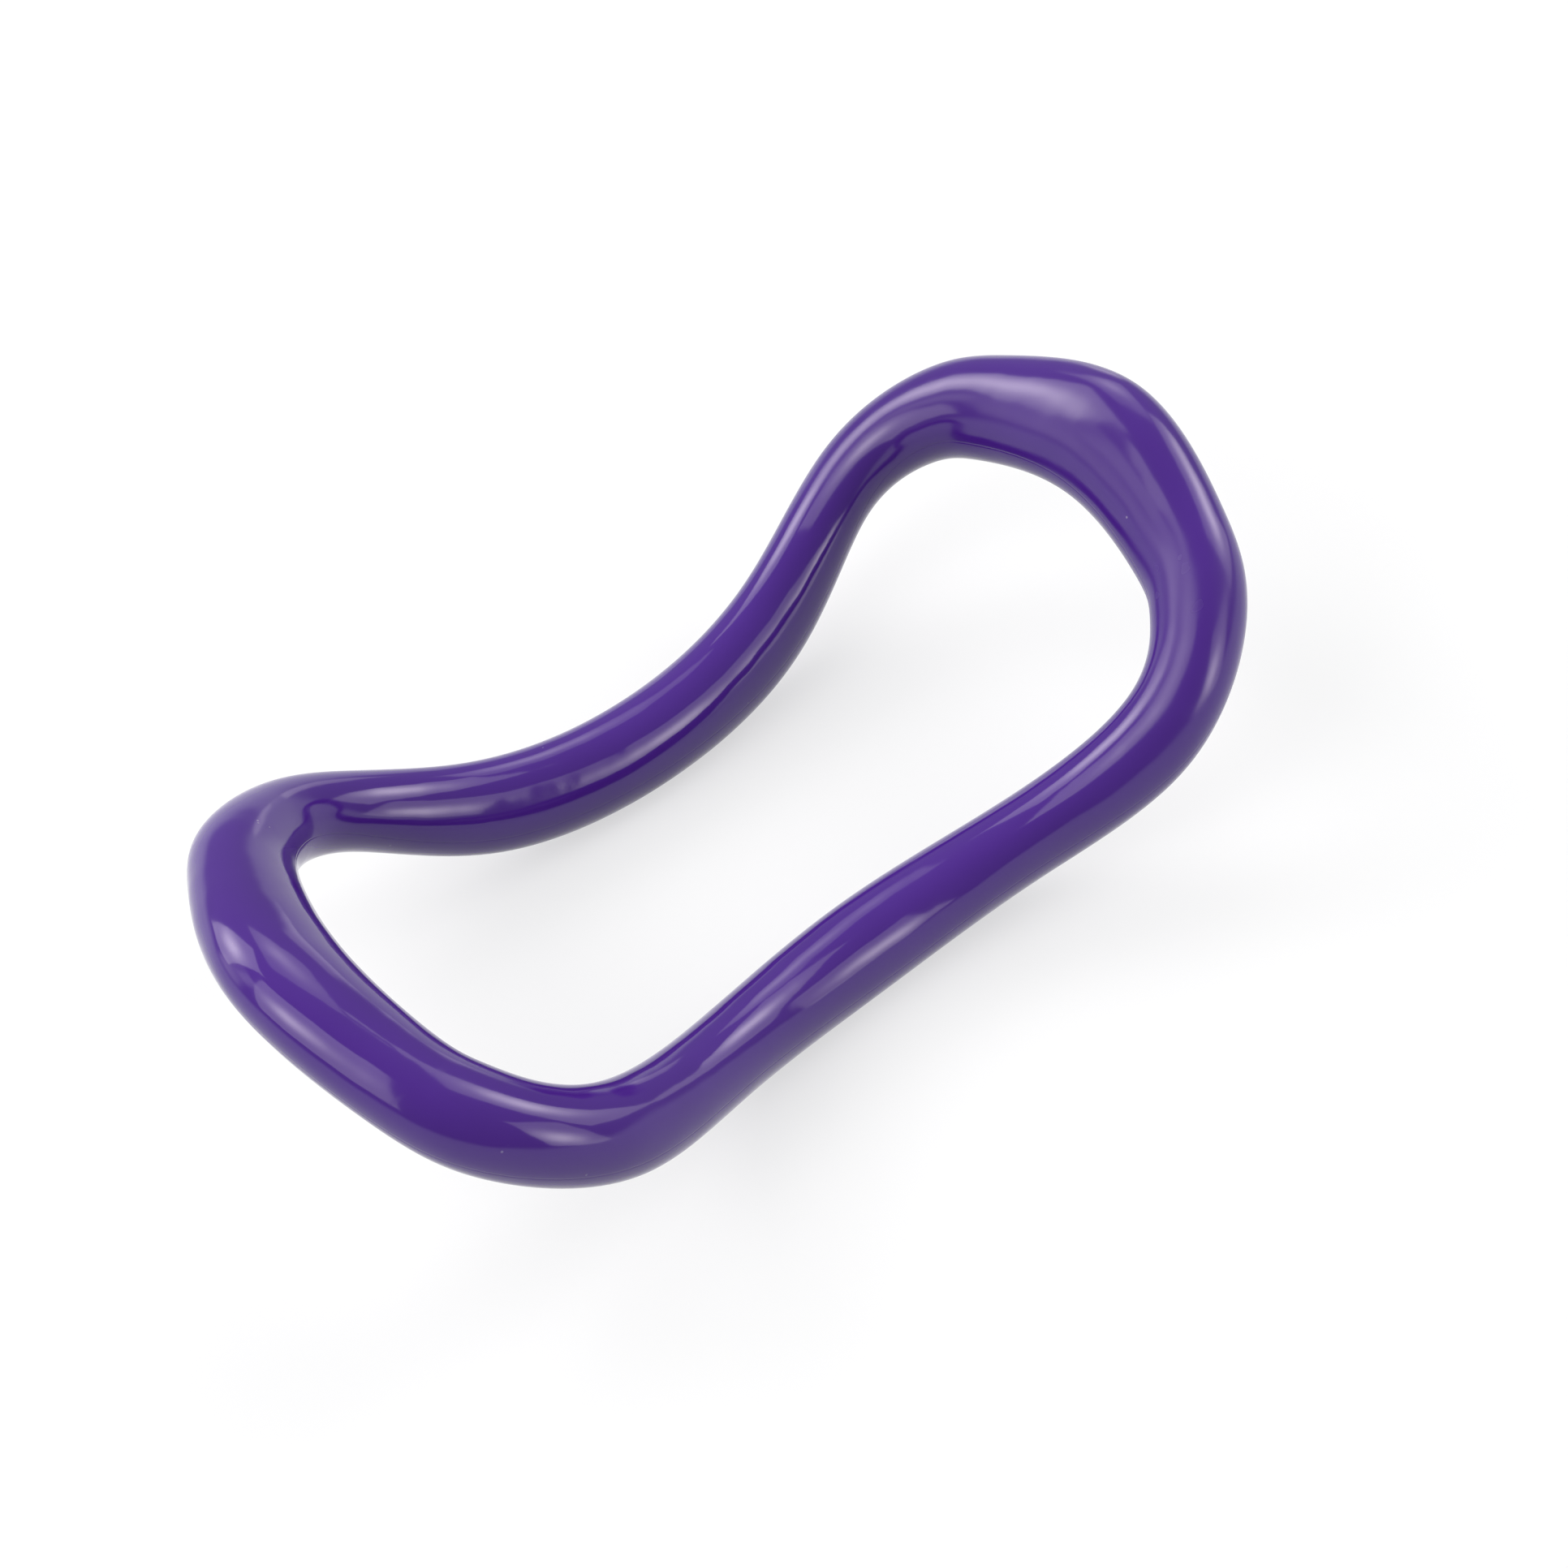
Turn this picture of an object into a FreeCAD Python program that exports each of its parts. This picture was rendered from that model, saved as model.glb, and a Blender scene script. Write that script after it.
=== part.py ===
import FreeCAD, Part
import math
import os

# A hollow wave-shaped stretch ring: two moulded half shells, welded along a tongue and groove.
# It lies lengthwise along X on its two waist bars, with both ends raised. Z is the mould's draw.

doc = FreeCAD.newDocument("stretch_ring")

# Driving dimensions, in millimetres and degrees. Six sections shape a quarter of the ring,
# and mirror images carry them round the loop:
# along_share: the tube's centre along X, as a share of the end's
# across_share: the tube's centre along Y, as a share of the corner's
# up_share: the tube's centre above its centre at the waist, as a share of the end's
# heading: the way that the section's outer side faces in plan, from +X
# width: the tube from its inner to its outer parting line, seen from above
# lean: how far the outer parting line lies above the inner one
driving_sizes = {
    "ring_length": 235.0,     # over the two raised ends
    "ring_width": 122.4,      # over the corners, where the ring is widest
    "ring_height": 76.0,      # from the ground to the top of the ends
    "tube_depth": 23.7,       # the tube from bottom to top, the same all round
    "wall": 3.0,
    "tongue_width": 1.0,      # the lower shell's tongue, in the middle of the wall
    "tongue_height": 1.2,
    "weld_clearance": 0.1,    # round the tongue and between the two lands
    "seam_bevel": 0.15,       # the fine line that shows along each seam
    "end_width": 23.6,
    "end_lean": 8.8,
    "brow_along_share": 0.952,
    "brow_across_share": 0.547,
    "brow_up_share": 0.878,
    "brow_heading": 17.0,
    "brow_width": 21.3,
    "brow_lean": 5.0,
    "shoulder_along_share": 0.873,
    "shoulder_across_share": 0.837,
    "shoulder_up_share": 0.742,
    "shoulder_heading": 46.5,
    "shoulder_width": 20.4,
    "shoulder_lean": 0.2,
    "corner_along_share": 0.69,
    "corner_up_share": 0.46,
    "corner_heading": 86.0,
    "corner_width": 18.2,
    "corner_lean": -1.6,
    "flank_along_share": 0.394,
    "flank_across_share": 0.844,
    "flank_up_share": 0.113,
    "flank_heading": 104.5,
    "flank_width": 18.2,
    "flank_lean": 2.4,
    "waist_across_share": 0.747,
    "waist_width": 19.8,
    "waist_lean": 0.5,
}

# What the ring's two planes of symmetry, and its three outer sizes, fix
held_places = {
    "end_along_share": 1,
    "end_across_share": 0,
    "end_up_share": 1,
    "end_heading": 0,
    "corner_across_share": 1,
    "waist_along_share": 0,
    "waist_up_share": 0,
    "waist_heading": 90,
}

sheet = doc.addObject("Spreadsheet::Sheet", "Sizes")
for row, (alias, value) in enumerate(driving_sizes.items(), start=1):
    sheet.set(f"A{row}", alias)
    sheet.set(f"B{row}", str(value))
    sheet.setAlias(f"B{row}", alias)
doc.recompute()


def cell(name):
    # a size as it is written in an expression
    return f"Sizes.{name}" if name in driving_sizes else str(held_places[name])


def size(name):
    return float(sheet.get(name))


# Skeleton: one chord for each section, from the inner to the outer parting line
quarter = ("end", "brow", "shoulder", "corner", "flank", "waist")


def loop_order():
    # the sections met on a turn round the ring from the +X end, with the signs of their X and Y
    first_quarter = [(name, 1, 1) for name in quarter]
    second_quarter = [(name, -1, 1) for name in quarter[-2::-1]]
    half_turn = first_quarter + second_quarter
    return half_turn + [(name, side_x, -side_y) for name, side_x, side_y in half_turn[-2:0:-1]]


# Heights of the tube's centre above its lowest point at the waist and below its top at the end,
# and the places of the end's and the corner's centres that give the three outer sizes
ground = "sqrt(pow(Sizes.tube_depth / 2; 2) + pow(Sizes.waist_lean / 2; 2))"
end_crown = "sqrt(pow(Sizes.tube_depth / 2; 2) + pow(Sizes.end_lean / 2; 2))"
end_reach = "(Sizes.ring_length - Sizes.end_width) / 2"
end_rise = f"(Sizes.ring_height - {ground} - {end_crown})"
corner_spread = "(Sizes.ring_width - Sizes.corner_width * sin(Sizes.corner_heading)) / 2"


def add_chord(number, name, side_x, side_y):
    parts = ("along_share", "across_share", "up_share", "heading", "width", "lean")
    along, across, up, heading, width, lean = (cell(f"{name}_{part}") for part in parts)
    chord = doc.addObject("Part::Line", f"chord_{number:02d}_{name}")
    for end, sign in ((1, "-"), (2, "+")):
        chord.setExpression(
            f"X{end}", f"{side_x} * ({along} * {end_reach} {sign} {width} / 2 * cos({heading}))")
        chord.setExpression(
            f"Y{end}", f"{side_y} * ({across} * {corner_spread} {sign} {width} / 2 * sin({heading}))")
        chord.setExpression(f"Z{end}", f"{ground} + {up} * {end_rise} {sign} {lean} / 2")
    return chord


chords = [add_chord(number, *place) for number, place in enumerate(loop_order())]
doc.recompute()


def rail_points(edge, inset, up):
    # Points on a line round the ring. edge is 1 on the outer parting line, -1 on the inner one and
    # 0 midway, inset is measured from that line towards the middle, and up is along the draw.
    points = []
    for chord in chords:
        inner = FreeCAD.Vector(chord.X1, chord.Y1, chord.Z1)
        outer = FreeCAD.Vector(chord.X2, chord.Y2, chord.Z2)
        half_chord = (outer - inner) / 2
        half_width = math.hypot(half_chord.x, half_chord.y)
        across = half_chord * (edge * (1 - inset / half_width))
        points.append((inner + outer) / 2 + across + FreeCAD.Vector(0, 0, up))
    return points


def rail_poles(points):
    # Poles of the closed cubic through the points: a point's pull fades by a fixed ratio with each
    # section that it is away, and one turn either way takes it to nothing.
    fade = math.sqrt(3) - 2
    count = len(points)
    poles = []
    for number in range(count):
        pole = FreeCAD.Vector()
        for away in range(-count, count + 1):
            pole += points[(number + away) % count] * (math.sqrt(3) * fade ** abs(away))
        poles.append(pole)
    return poles[-1:] + poles[:-1]


def skin(profile, weights, degree):
    # the surface that a profile sweeps in one turn, as a face for each quarter of the ring
    rows = [list(row) for row in zip(*(rail_poles(rail_points(*point)) for point in profile))]
    sections = len(rows)
    spans = (len(profile) - 1) // degree
    surface = Part.BSplineSurface()
    surface.buildFromPolesMultsKnots(
        rows,
        [1] * (sections + 1), [degree + 1] + [degree] * (spans - 1) + [degree + 1],
        list(range(sections + 1)), list(range(spans + 1)),
        True, False, 3, degree, [weights] * sections)
    quarter_turn = sections // 4
    faces = []
    for start in range(0, sections, quarter_turn):
        patch = surface.copy()
        patch.segment(start, start + quarter_turn, 0, spans)
        faces.append(patch.toShape())
    return faces


def flat_skins(profile):
    # one ruled surface for each straight run of the profile
    faces = []
    for run in zip(profile, profile[1:]):
        faces += skin(run, [1, 1], 1)
    return faces


def oval_skin(inset, foot, crown):
    # half an ellipse, from the outer parting line over the crown to the inner one
    quarter_weight = math.sqrt(0.5)
    profile = [(1, inset, foot), (1, inset, crown), (0, 0, crown), (-1, inset, crown), (-1, inset, foot)]
    return skin(profile, [1, quarter_weight, 1, quarter_weight, 1], 2)


def half_shell(label, side, key_width, key_height):
    # side is 1 above the parting line and -1 below it; the key is the tongue or its groove
    wall = size("wall")
    bevel = size("seam_bevel")
    crown = side * size("tube_depth") / 2
    land = side * size("weld_clearance") / 2
    foot = land + side * bevel
    key_outer = (wall - key_width) / 2
    key_inner = (wall + key_width) / 2
    faces = oval_skin(0, foot, crown) + oval_skin(wall, land, crown - side * wall)
    for edge in (1, -1):
        faces += flat_skins([
            (edge, 0, foot),
            (edge, bevel, land),
            (edge, key_outer, land),
            (edge, key_outer, key_height),
            (edge, key_inner, key_height),
            (edge, key_inner, land),
            (edge, wall, land),
        ])
    shell = Part.makeShell(faces)
    shell.sewShape()
    solid = Part.makeSolid(shell)
    if solid.Volume < 0:
        solid.reverse()
    node = doc.addObject("Part::Feature", label)
    node.Label = label
    node.Shape = solid
    node.Placement = FreeCAD.Placement()
    return node


clearance = size("weld_clearance")
tongue_width = size("tongue_width")
tongue_height = size("tongue_height")
nodes = [
    half_shell("lower_shell", -1, tongue_width, tongue_height),
    half_shell("upper_shell", 1, tongue_width + 2 * clearance, tongue_height + clearance),
]
doc.recompute()

for item in doc.Objects:
    if "Invalid" in item.State or "Error" in item.State:
        raise RuntimeError(f"{item.Label} failed: {item.State}")
for node in nodes:
    if node.Shape.isNull() or not node.Shape.isValid() or not node.Shape.Solids:
        raise RuntimeError(f"{node.Label} is not a valid solid")

os.makedirs("parts", exist_ok=True)
for node in nodes:
    node.Shape.exportStep(f"parts/{node.Label}.step")
    print(f"{node.Label}: {node.Shape.Volume / 1000:.1f} cm3, {len(node.Shape.Faces)} faces")
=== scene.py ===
import math
import bpy
import bmesh
from mathutils import Matrix, Vector


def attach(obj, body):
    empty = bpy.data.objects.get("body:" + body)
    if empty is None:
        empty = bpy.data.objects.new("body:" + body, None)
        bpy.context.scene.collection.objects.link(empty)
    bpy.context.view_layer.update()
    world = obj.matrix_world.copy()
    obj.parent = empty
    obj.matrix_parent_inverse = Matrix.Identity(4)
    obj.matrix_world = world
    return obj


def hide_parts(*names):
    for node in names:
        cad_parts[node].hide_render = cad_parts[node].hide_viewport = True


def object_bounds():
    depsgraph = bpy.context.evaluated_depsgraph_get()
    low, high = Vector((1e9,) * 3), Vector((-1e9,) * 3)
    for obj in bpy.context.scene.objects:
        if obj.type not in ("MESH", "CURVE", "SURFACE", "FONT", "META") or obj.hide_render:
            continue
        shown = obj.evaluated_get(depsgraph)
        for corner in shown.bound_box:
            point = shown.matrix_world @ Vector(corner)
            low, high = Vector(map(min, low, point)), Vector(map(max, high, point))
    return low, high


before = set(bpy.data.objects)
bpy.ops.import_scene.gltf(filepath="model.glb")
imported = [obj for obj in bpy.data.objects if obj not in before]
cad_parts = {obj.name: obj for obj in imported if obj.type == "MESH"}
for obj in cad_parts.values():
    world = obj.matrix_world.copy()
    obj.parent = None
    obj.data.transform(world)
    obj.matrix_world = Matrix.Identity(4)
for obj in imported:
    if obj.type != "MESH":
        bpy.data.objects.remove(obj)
cadLow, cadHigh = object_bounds()    # the solids' own box, before anything is dressed
scene = bpy.context.scene
scene.view_settings.view_transform = "Standard"
print("frame loaded:", ", ".join(sorted(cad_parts)))


# The ring's tube. A quarter of it is shaped by six sections, and the rest mirrors them.
# along, across and up place a section's middle as a share of the end's, the corner's and the
# end's. heading is the way its outer side faces, in degrees from +X. width is taken across the
# two seams, and lean is how far the outer seam lies above the inner one, in metres.
tube = {
    "depth": 0.0237,
    "wall": 0.003,
    "seamBevel": 0.00004,
    "seamGap": 0.000012,
    "tongueWidth": 0.001,
    "tongueHeight": 0.0012,
    "grooveRoom": 0.0001,
    "loopPoints": 12,         # points in a section before it is smoothed
    "smoothing": 4,
    "mergeWithin": 1e-6,
    "sharpAngle": 40,
    "sections": {
        "end": {"along": 1.0, "across": 0.0, "up": 1.0,
                "heading": 0, "width": 0.0236, "lean": 0.0088},
        "brow": {"along": 0.952, "across": 0.547, "up": 0.878,
                 "heading": 17, "width": 0.0213, "lean": 0.005},
        "shoulder": {"along": 0.873, "across": 0.837, "up": 0.742,
                     "heading": 46.5, "width": 0.0204, "lean": 0.0002},
        "corner": {"along": 0.69, "across": 1.0, "up": 0.46,
                   "heading": 86, "width": 0.0182, "lean": -0.0016},
        "flank": {"along": 0.394, "across": 0.844, "up": 0.113,
                  "heading": 104.5, "width": 0.0182, "lean": 0.0024},
        "waist": {"along": 0.0, "across": 0.747, "up": 0.0,
                  "heading": 90, "width": 0.0198, "lean": 0.0005},
    },
}


def sectionPlaces():
    # the middle and the half chord of each section, in order round the ring from the +X end
    length, width, height = cadHigh - cadLow
    sections = tube["sections"]
    halfDepth = tube["depth"] / 2
    ground = math.hypot(halfDepth, sections["waist"]["lean"] / 2)
    crown = math.hypot(halfDepth, sections["end"]["lean"] / 2)
    corner = sections["corner"]
    endReach = (length - sections["end"]["width"]) / 2
    endRise = height - ground - crown
    cornerSpread = (width - corner["width"] * math.sin(math.radians(corner["heading"]))) / 2
    names = list(sections)
    halfTurn = [(name, 1, 1) for name in names] + [(name, -1, 1) for name in names[-2::-1]]
    turn = halfTurn + [(name, sideX, -sideY) for name, sideX, sideY in halfTurn[-2:0:-1]]
    places = []
    for name, sideX, sideY in turn:
        section = sections[name]
        heading = math.radians(section["heading"])
        middle = Vector((sideX * section["along"] * endReach,
                         sideY * section["across"] * cornerSpread,
                         ground + section["up"] * endRise))
        chord = Vector((sideX * math.cos(heading) * section["width"],
                        sideY * math.sin(heading) * section["width"],
                        section["lean"])) / 2
        places.append((middle, chord))
    return places


def cagePlaces(places):
    # where the cage has to be for its smooth surface to pass through the sections
    fade = math.sqrt(3) - 2
    count = len(places)
    pulls = [(away, math.sqrt(3) * fade ** abs(away)) for away in range(-count, count + 1)]
    cage = []
    for number in range(count):
        middle, chord = Vector(), Vector()
        for away, pull in pulls:
            nextMiddle, nextChord = places[(number + away) % count]
            middle += nextMiddle * pull
            chord += nextChord * pull
        cage.append((middle, chord))
    return cage


def skinMesh(name, side, inset, foot):
    # one skin of a half shell: a closed tube of section loops, smoothed, with the other half marked to be
    # cut away
    bm = bmesh.new()
    points = tube["loopPoints"]
    reach = 3 / (2 + math.cos(2 * math.pi / points))    # the smooth loop shrinks from its cage by this
    crownRise = tube["depth"] / 2 - inset - foot
    places = []
    for middle, chord in cagePlaces(sectionPlaces()):
        across = chord * (1 - inset / math.hypot(chord.x, chord.y))
        rise = Vector((0, 0, side * crownRise))
        around = across.cross(rise).normalized()
        place = Matrix((across, rise, around)).transposed().to_4x4()
        place.translation = middle + Vector((0, 0, side * foot))
        places.append(place)
    bmesh.ops.create_circle(bm, segments=points, radius=reach, matrix=places[0])
    loop = list(bm.edges)
    for place, nextPlace in zip(places, places[1:] + places[:1]):
        backwards = place.inverted()
        drawn = bmesh.ops.extrude_edge_only(bm, edges=loop)["geom"]
        for face in (item for item in drawn if isinstance(item, bmesh.types.BMFace)):
            height = sum((backwards @ vert.co).y for vert in face.verts)
            face.material_index = 0 if height > 0 else 1    # 1 is the half that is cut away
        bmesh.ops.transform(bm, matrix=nextPlace @ backwards,
                            verts=[item for item in drawn if isinstance(item, bmesh.types.BMVert)])
        loop = [item for item in drawn if isinstance(item, bmesh.types.BMEdge)]
    bmesh.ops.remove_doubles(bm, verts=bm.verts, dist=tube["mergeWithin"])
    bmesh.ops.recalc_face_normals(bm, faces=bm.faces)
    cage = bpy.data.meshes.new(name)
    bm.to_mesh(cage)
    bm.free()
    holder = bpy.data.objects.new(name, cage)
    scene.collection.objects.link(holder)
    smooth = holder.modifiers.new("smooth", "SUBSURF")
    smooth.levels = smooth.render_levels = tube["smoothing"]
    bpy.context.view_layer.update()
    mesh = bpy.data.meshes.new_from_object(holder.evaluated_get(bpy.context.evaluated_depsgraph_get()))
    bpy.data.objects.remove(holder)
    bpy.data.meshes.remove(cage)
    return mesh


def addSkin(bm, name, side, inset, foot):
    mesh = skinMesh(name, side, inset, foot)
    bm.from_mesh(mesh)
    bpy.data.meshes.remove(mesh)
    cut = [face for face in bm.faces if face.material_index == 1]
    bmesh.ops.delete(bm, geom=cut, context="FACES")


def makeShell(name, node, side, keyWidth, keyHeight):
    # outer and inner skin, the two lands between them, and the tongue or the groove along each land
    foot = tube["seamGap"]
    bm = bmesh.new()
    addSkin(bm, name + "Outer", side, 0, foot)
    addSkin(bm, name + "Inner", side, tube["wall"], foot)
    rims = [edge for edge in bm.edges if edge.is_boundary]
    loops = []
    while rims:
        loop, grow = set(), {rims[0]}
        while grow:
            loop |= grow
            grow = {link for edge in grow for vert in edge.verts for link in vert.link_edges
                    if link.is_boundary} - loop
        loops.append(list(loop))
        rims = [edge for edge in rims if edge not in loop]
    loops.sort(key=lambda loop: max(vert.co.x for edge in loop for vert in edge.verts))
    lands = []
    for pair in (loops[:2], loops[2:]):
        lands += bmesh.ops.bridge_loops(bm, edges=pair[0] + pair[1])["faces"]
    bmesh.ops.recalc_face_normals(bm, faces=bm.faces)
    seams = [edge for edge in bm.edges if sum(face in lands for face in edge.link_faces) == 1]
    bmesh.ops.inset_region(bm, faces=lands, thickness=(tube["wall"] - keyWidth) / 2)
    key = bmesh.ops.extrude_face_region(bm, geom=lands)["geom"]
    bmesh.ops.delete(bm, geom=lands, context="FACES")
    bmesh.ops.translate(bm, verts=[item for item in key if isinstance(item, bmesh.types.BMVert)],
                        vec=(0, 0, keyHeight))
    for face in bm.faces:
        face.smooth = True
        face.material_index = 0
    bmesh.ops.bevel(bm, geom=[edge for edge in seams if edge.is_valid], affect="EDGES",
                    offset=tube["seamBevel"], segments=2, profile=0.5, material=-1)
    bmesh.ops.recalc_face_normals(bm, faces=bm.faces)
    mesh = bpy.data.meshes.new(name)
    bm.to_mesh(mesh)
    bm.free()
    mesh.set_sharp_from_angle(angle=math.radians(tube["sharpAngle"]))
    shell = bpy.data.objects.new(name, mesh)
    scene.collection.objects.link(shell)
    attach(shell, "root")
    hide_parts(node)
    print(f"{name}: {len(mesh.polygons)} faces")
    return shell


upperShell = makeShell("upperShell", "upper_shell", 1, tube["tongueWidth"] + 2 * tube["grooveRoom"],
                       tube["tongueHeight"] + tube["grooveRoom"])
lowerShell = makeShell("lowerShell", "lower_shell", -1, tube["tongueWidth"], tube["tongueHeight"])


# Shader wiring for the plastic, the floor, the softboxes and the world
class Wire:
    # a node's output that Python's own operators can be used on
    def __init__(self, tree, socket=None):
        self.tree, self.socket = tree, socket

    def node(self, kind, settings, values, output=0):
        made = self.tree.nodes.new("ShaderNode" + kind)
        for name, value in settings.items():
            setattr(made, name, value)
        for name, value in values.items():
            if isinstance(value, Wire):
                self.tree.links.new(value.socket, made.inputs[name])
            else:
                made.inputs[name].default_value = value
        return Wire(self.tree, made.outputs[output] if made.outputs else None)

    def maths(self, operation, first, second):
        return self.node("Math", {"operation": operation}, {0: first, 1: second})

    def __add__(self, other):
        return self.maths("ADD", self, other)

    def __radd__(self, other):
        return self.maths("ADD", other, self)

    def __sub__(self, other):
        return self.maths("SUBTRACT", self, other)

    def __rsub__(self, other):
        return self.maths("SUBTRACT", other, self)

    def __mul__(self, other):
        return self.maths("MULTIPLY", self, other)

    def __rmul__(self, other):
        return self.maths("MULTIPLY", other, self)

    def __rpow__(self, other):
        return self.maths("POWER", other, self)


# Violet plastic, moulded to a high gloss, with the marks of the mould and of handling
violetPlastic = {
    "colour": (0.0514, 0.0125, 0.196, 1),
    "deepColour": (0.0450, 0.0098, 0.174, 1),    # where the pigment flowed thicker
    "dustColour": (0.30, 0.27, 0.38, 1),
    "ior": 1.5,
    "roughness": 0.08,
    "flow": 16.0,             # broad tone changes, per metre
    "flowBand": (0.30, 0.70),
    "mottle": 150.0,
    "mottleShare": 0.5,
    "waves": 48.0,            # shallow sink waves that bend the highlights
    "waveHeight": 0.0005,
    "ripples": 125.0,
    "rippleHeight": 0.00008,
    "grain": 1500.0,          # the mould's fine polish
    "grainHeight": 0.0000025,
    "haze": 34.0,             # hand marks that dull the gloss
    "hazeBand": (0.45, 0.75),
    "hazeRoughness": 0.055,
    "heldEnd": (0.03, 0.11),  # along X, over which the end that is held most grows duller
    "heldRoughness": 0.06,
    "heldHaze": 0.10,         # more hand marks at that end
    "scratches": 260.0,
    "scratchBand": (0.715, 0.735),
    "scratchStretch": (0.045, 1.0, 1.0),
    "scratchRuns": ((0.35, 5.3), (-0.9, 8.9)),    # turn and shift of the two runs
    "scratchRoughness": 0.10,
    "dust": 420.0,
    "dustSize": (0.06, 0.16),
    "dustClumps": 155.4,      # the patches that hold the specks
    "clumpBand": (0.77, 0.82),
    "dustCover": 0.55,
    "dustRoughness": 0.25,
}


def plasticMaterial():
    made = violetPlastic
    material = bpy.data.materials.new("violetPlastic")
    material.use_nodes = True
    tree = material.node_tree
    shader = tree.nodes["Principled BSDF"]
    draw = Wire(tree)
    place = draw.node("TexCoord", {}, {}, "Object")

    def noise(scale, detail, stretch=(1, 1, 1), turn=0.0, shift=0.0):
        across = draw.node("Mapping", {}, {"Vector": place, "Scale": stretch, "Rotation": (0, 0, turn),
                                           "Location": (shift, shift, shift)})
        return draw.node("TexNoise", {}, {"Vector": across, "Scale": scale, "Detail": detail})

    def band(value, low, high):
        return draw.node("MapRange", {"interpolation_type": "SMOOTHSTEP"},
                         {"Value": value, "From Min": low, "From Max": high})

    def blend(factor, first, second):
        # 0, 6 and 7 are a colour mix's factor and its two colours, and 2 is its result
        return draw.node("Mix", {"data_type": "RGBA"}, {0: factor, 6: first, 7: second}, 2)

    # tone: broad flow of the pigment, a fine mottle, and specks of dust
    flow = band(noise(made["flow"], detail=2.0), *made["flowBand"])
    mottle = noise(made["mottle"], detail=3.0) - 0.5
    tone = blend(flow + made["mottleShare"] * mottle, made["deepColour"], made["colour"])
    cells = draw.node("TexVoronoi", {}, {"Vector": place, "Scale": made["dust"]}, "Distance")
    clumps = band(noise(made["dustClumps"], detail=0.0, shift=3.1), *made["clumpBand"])
    dust = (1 - band(cells, *made["dustSize"])) * clumps
    tone = blend(dust * made["dustCover"], tone, made["dustColour"])

    # gloss: hazy hand marks, and hairline scratches that run two ways
    haze = band(noise(made["haze"], detail=3.0, shift=1.7), *made["hazeBand"])
    held = band(draw.node("SeparateXYZ", {}, {"Vector": place}, "X"), *made["heldEnd"])
    worn = made["heldRoughness"] * held + (made["hazeRoughness"] + made["heldHaze"] * held) * haze
    gloss = made["roughness"] + worn + made["dustRoughness"] * dust
    for turn, shift in made["scratchRuns"]:
        lines = noise(made["scratches"], detail=1.0, stretch=made["scratchStretch"], turn=turn, shift=shift)
        hairline = band(lines, *made["scratchBand"])
        gloss = gloss + made["scratchRoughness"] * hairline * haze

    # form: sink waves, and the polish marks of the mould
    relief = (made["waveHeight"] * noise(made["waves"], detail=1.0, shift=0.4)
              + made["rippleHeight"] * noise(made["ripples"], detail=1.0, shift=2.6)
              + made["grainHeight"] * noise(made["grain"], detail=2.0))
    form = draw.node("Bump", {}, {"Height": relief, "Distance": 1.0, "Strength": 1.0})
    for name, value in (("Base Color", tone), ("Roughness", gloss), ("Normal", form)):
        tree.links.new(value.socket, shader.inputs[name])
    shader.inputs["IOR"].default_value = made["ior"]
    return material


plastic = plasticMaterial()
for shell in (upperShell, lowerShell):
    shell.data.materials.clear()
    shell.data.materials.append(plastic)
print("violet plastic:", len(plastic.node_tree.nodes), "nodes")


# Pale studio floor. What looks at it, straight or in a reflection, sees it white, with the
# ring's soft shadow left on it.
floorSizes = {"radius": 1.5, "sides": 96, "colour": (0.296, 0.314, 0.308, 1), "white": 0.6}


def makeFloor():
    bm = bmesh.new()
    bmesh.ops.create_circle(bm, cap_ends=True, segments=floorSizes["sides"], radius=floorSizes["radius"])
    mesh = bpy.data.meshes.new("studioFloor")
    bm.to_mesh(mesh)
    bm.free()
    floor = bpy.data.objects.new("studioFloor", mesh)
    scene.collection.objects.link(floor)
    material = bpy.data.materials.new("floorPaint")
    material.use_nodes = True
    tree = material.node_tree
    tree.nodes.clear()
    draw = Wire(tree)
    paint = draw.node("BsdfDiffuse", {}, {"Color": floorSizes["colour"]})
    glow = draw.node("Emission", {}, {"Strength": floorSizes["white"]})
    rays = ("Is Camera Ray", "Is Glossy Ray", "Is Transmission Ray")
    straight, mirrored, through = (draw.node("LightPath", {}, {}, ray) for ray in rays)
    seen = draw.maths("MAXIMUM", draw.maths("MAXIMUM", straight, mirrored), through)
    white = draw.node("AddShader", {}, {0: paint, 1: glow})
    surface = draw.node("MixShader", {}, {0: seen, 1: paint, 2: white})
    draw.node("OutputMaterial", {}, {"Surface": surface})
    mesh.materials.append(material)


makeFloor()
print("floor laid")


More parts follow.
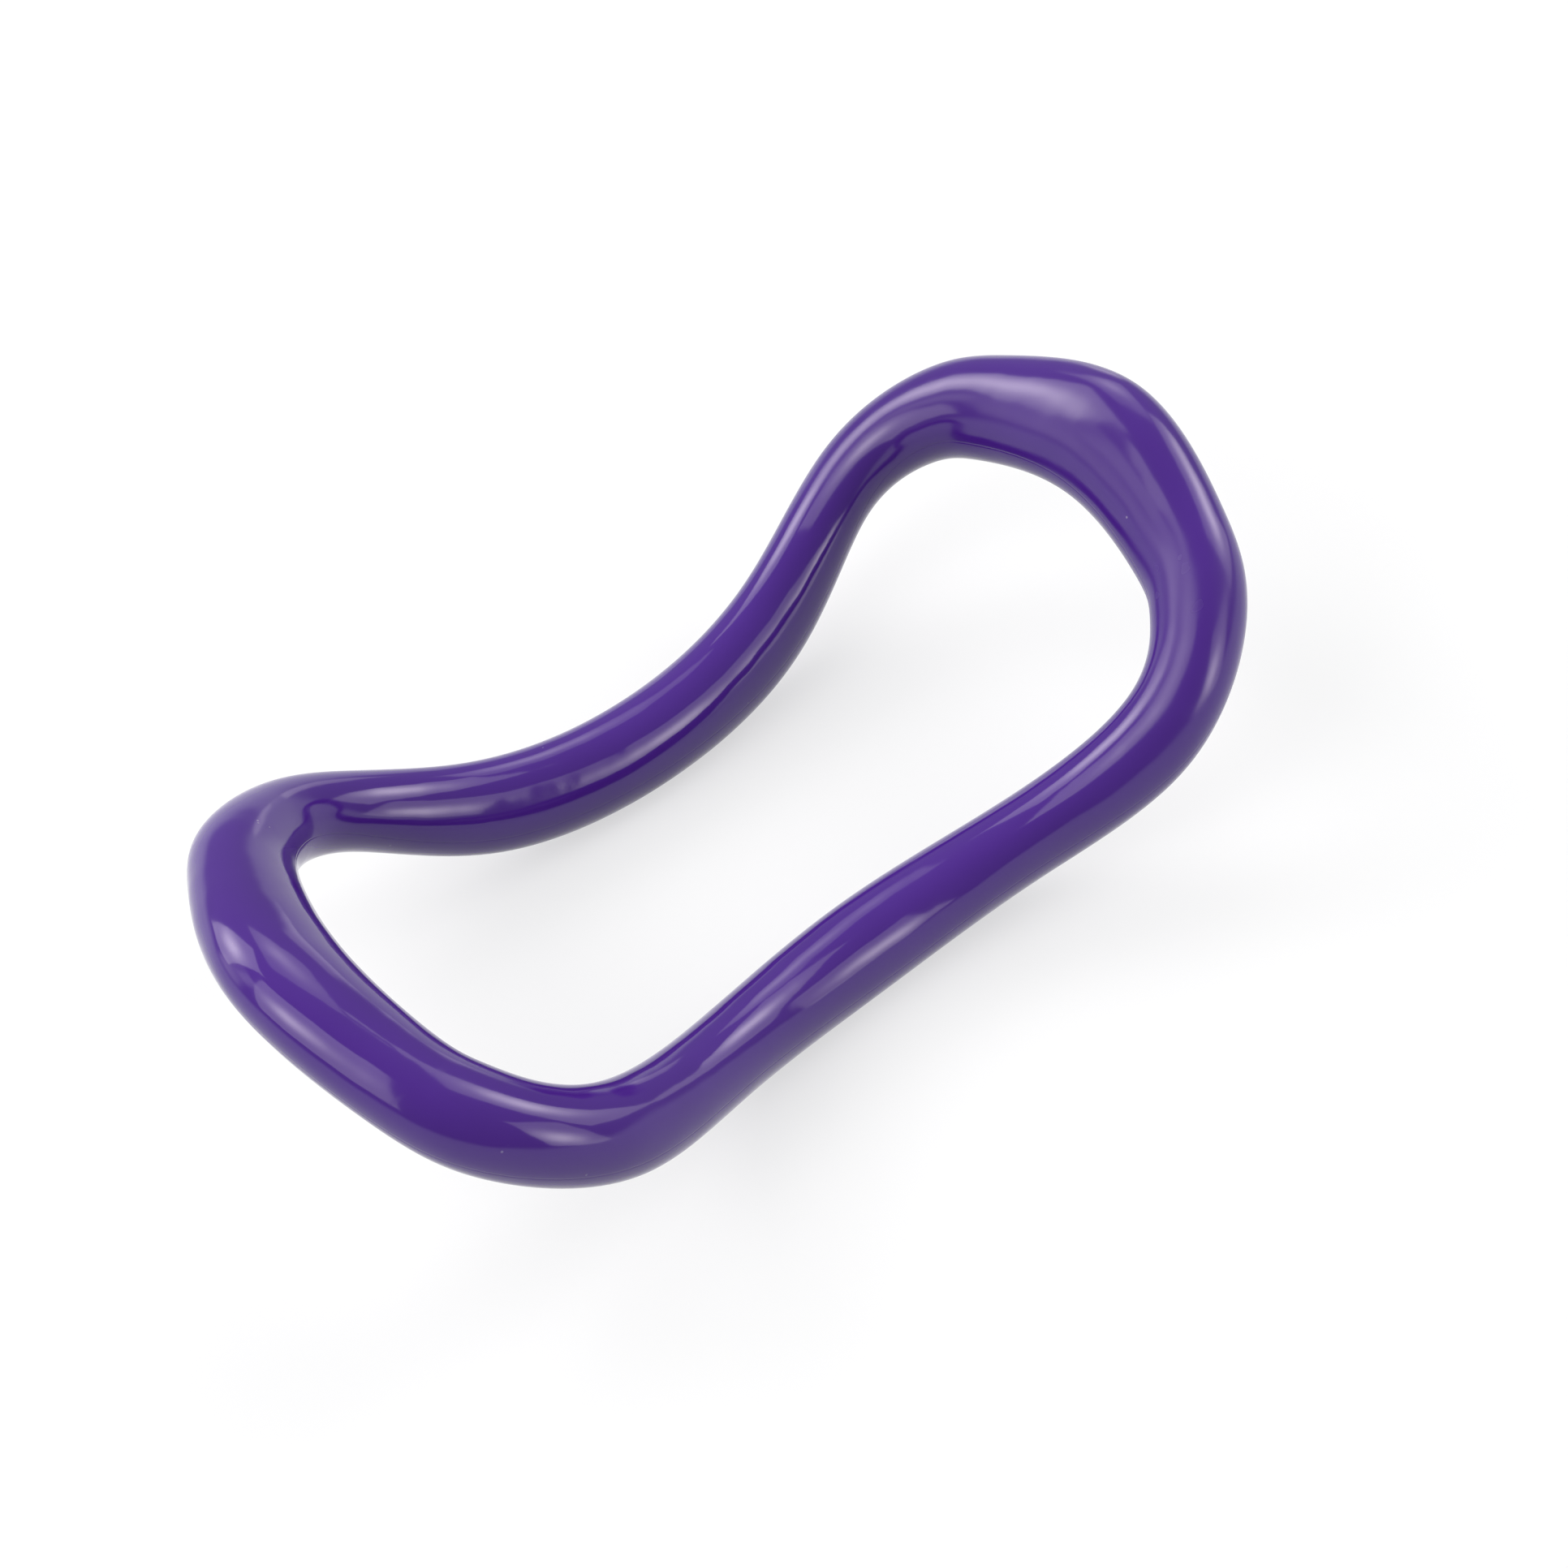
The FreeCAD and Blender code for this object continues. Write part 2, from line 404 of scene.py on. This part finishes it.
# Softboxes round the ring: the way to each in degrees (azimuth from +Y towards +X), its width and
# height in metres, its turn about that way, its glow, how many times that its middle adds, how wide
# the bright middle is and where it lies, and how softly the edges fade
softboxDistance = 1.6
softboxAim = (0, 0, 0.038)            # the ring's middle
lampColour = (1.0, 0.915, 0.945, 1)   # a little warm, as the photo's highlights are
softboxes = {
    "backLeft": {"azimuth": -24.5, "elevation": 36.5, "size": (0.88, 1.56), "turn": 24,
                 "glow": 2.05, "hot": 3.0, "spot": 0.31, "shift": (0.0, 0.015), "fade": 0.03},
    "backRight": {"azimuth": 44, "elevation": 47.5, "size": (0.90, 0.94), "turn": 14,
                  "glow": 1.00, "hot": 2.3, "spot": 0.25, "shift": (0.0, -0.10), "fade": 0.05},
    "left": {"azimuth": -91, "elevation": 41.5, "size": (1.22, 1.84), "turn": 6,
             "glow": 1.85, "hot": 3.0, "spot": 0.32, "shift": (-0.01, -0.01), "fade": 0.03},
    "right": {"azimuth": 105, "elevation": 35.5, "size": (0.98, 1.50), "turn": -23,
              "glow": 1.50, "hot": 4.2, "spot": 0.30, "shift": (0.09, 0.03), "fade": 0.03},
    "front": {"azimuth": 154.5, "elevation": 18, "size": (0.87, 1.10), "turn": -22,
              "glow": 1.30, "hot": 4.0, "spot": 0.25, "shift": (-0.11, -0.14), "fade": 0.03},
    "lowRight": {"azimuth": 52.5, "elevation": 3, "size": (0.40, 0.60), "turn": 0,
                 "glow": 0.80, "hot": 0.4, "spot": 0.25, "shift": (0.0, 0.0), "fade": 0.10},
    "lowLeft": {"azimuth": -50, "elevation": 25, "size": (0.86, 1.40), "turn": 4,
                "glow": 0.55, "hot": 1.3, "spot": 0.36, "shift": (0.0, -0.26), "fade": 0.22},
    "gapLeft": {"azimuth": -59, "elevation": 36, "size": (0.46, 0.66), "turn": 0,
                "glow": 0.60, "hot": 0.3, "spot": 0.25, "shift": (0.0, 0.0), "fade": 0.16},
}


def softboxGlow(data, box):
    # brighter in the middle, as a lamp behind a diffuser is
    data.use_nodes = True
    data.node_tree.nodes.clear()
    draw = Wire(data.node_tree)
    panel = draw.node("NewGeometry", {}, {}, "Parametric")
    away, edges = 0.0, 1.0
    for axis, side, shift in zip("XY", box["size"], box["shift"]):
        along = draw.node("SeparateXYZ", {}, {"Vector": panel}, axis)
        offset = (along - (0.5 + shift)) * (side / box["spot"])
        away = offset * offset + away
        inside = (1 - draw.maths("ABSOLUTE", along * 2 - 1, 0.0)) * (side / 2)
        edges = edges * draw.node("MapRange", {"interpolation_type": "SMOOTHSTEP"},
                                  {"Value": inside, "From Max": box["fade"]})
    strength = (1 + box["hot"] * math.e ** (-1 * away)) * edges
    light = draw.node("Emission", {}, {"Color": lampColour, "Strength": strength})
    draw.node("OutputLight", {}, {"Surface": light})


def makeSoftboxes():
    for name, box in softboxes.items():
        azimuth, elevation = math.radians(box["azimuth"]), math.radians(box["elevation"])
        way = Vector((math.sin(azimuth) * math.cos(elevation),
                      math.cos(azimuth) * math.cos(elevation),
                      math.sin(elevation)))
        data = bpy.data.lights.new(name, "AREA")
        data.shape = "RECTANGLE"
        data.size, data.size_y = box["size"]
        data.energy = box["glow"] * math.pi * data.size * data.size_y
        softboxGlow(data, box)
        lamp = bpy.data.objects.new(name, data)
        scene.collection.objects.link(lamp)
        lamp.location = Vector(softboxAim) + way * softboxDistance
        lamp.rotation_mode = "QUATERNION"
        facing = (-way).to_track_quat("-Z", "Y")
        turn = Matrix.Rotation(math.radians(box["turn"]), 3, "Z").to_quaternion()
        lamp.rotation_quaternion = facing @ turn


makeSoftboxes()
print("softboxes:", len(softboxes))


# The room round them: as white as the floor where they meet, then greyer walls that grow a little
# lighter overhead, and dimmer on the side that the camera looks from. Heights are those of a
# direction's own Z.
room = {
    "edge": 1.0,
    "edgeRise": (-0.03, 0.10),
    "low": 0.42,
    "high": 0.54,
    "wallRise": (0.0, 0.6),
    "dimSide": (-0.446, -0.742, 0.5),
    "dimFrom": -0.1,
    "dim": 0.46,
}


def makeRoom():
    world = bpy.data.worlds.new("studioRoom")
    scene.world = world
    world.use_nodes = True
    world.node_tree.nodes.clear()
    draw = Wire(world.node_tree)
    way = draw.node("TexCoord", {}, {}, "Generated")
    height = draw.node("SeparateXYZ", {}, {"Vector": way}, "Z")

    def rise(heights, low, high):
        bottom, top = heights
        return draw.node("MapRange", {"interpolation_type": "SMOOTHSTEP"},
                         {"Value": height, "From Min": bottom, "From Max": top,
                          "To Min": low, "To Max": high})

    toSide = draw.node("VectorMath", {"operation": "DOT_PRODUCT"}, {0: way, 1: room["dimSide"]}, "Value")
    side = draw.node("MapRange", {}, {"Value": toSide, "From Min": room["dimFrom"]})
    walls = rise(room["wallRise"], room["low"], room["high"]) * (1 - room["dim"] * side)
    edge = rise(room["edgeRise"], 1.0, 0.0)
    strength = walls + (room["edge"] - walls) * edge
    light = draw.node("Background", {}, {"Color": (1, 1, 1, 1), "Strength": strength})
    draw.node("OutputWorld", {}, {"Surface": light})


makeRoom()
print("room lit")


# Camera, from the photograph's own perspective
photoView = {
    "place": (-0.15745, -0.26075, 0.41092),
    "azimuth": -32.78,      # of the way it looks, degrees from +Y towards -X
    "elevation": 51.40,     # how far it looks down
    "roll": -7.82,
    "lens": 51.67,
    "sensor": 36.0,
}


def makeCamera():
    data = bpy.data.cameras.new("photoCamera")
    data.lens = photoView["lens"]
    data.sensor_width = photoView["sensor"]
    camera = bpy.data.objects.new("photoCamera", data)
    scene.collection.objects.link(camera)
    azimuth, elevation = math.radians(photoView["azimuth"]), math.radians(photoView["elevation"])
    tilt = Matrix.Rotation(math.pi / 2 - elevation, 4, "X")
    turn = Matrix.Rotation(azimuth, 4, "Z")
    roll = Matrix.Rotation(math.radians(photoView["roll"]), 4, "Z")
    camera.matrix_world = Matrix.Translation(photoView["place"]) @ turn @ tilt @ roll
    scene.camera = camera
    print("camera placed")


makeCamera()
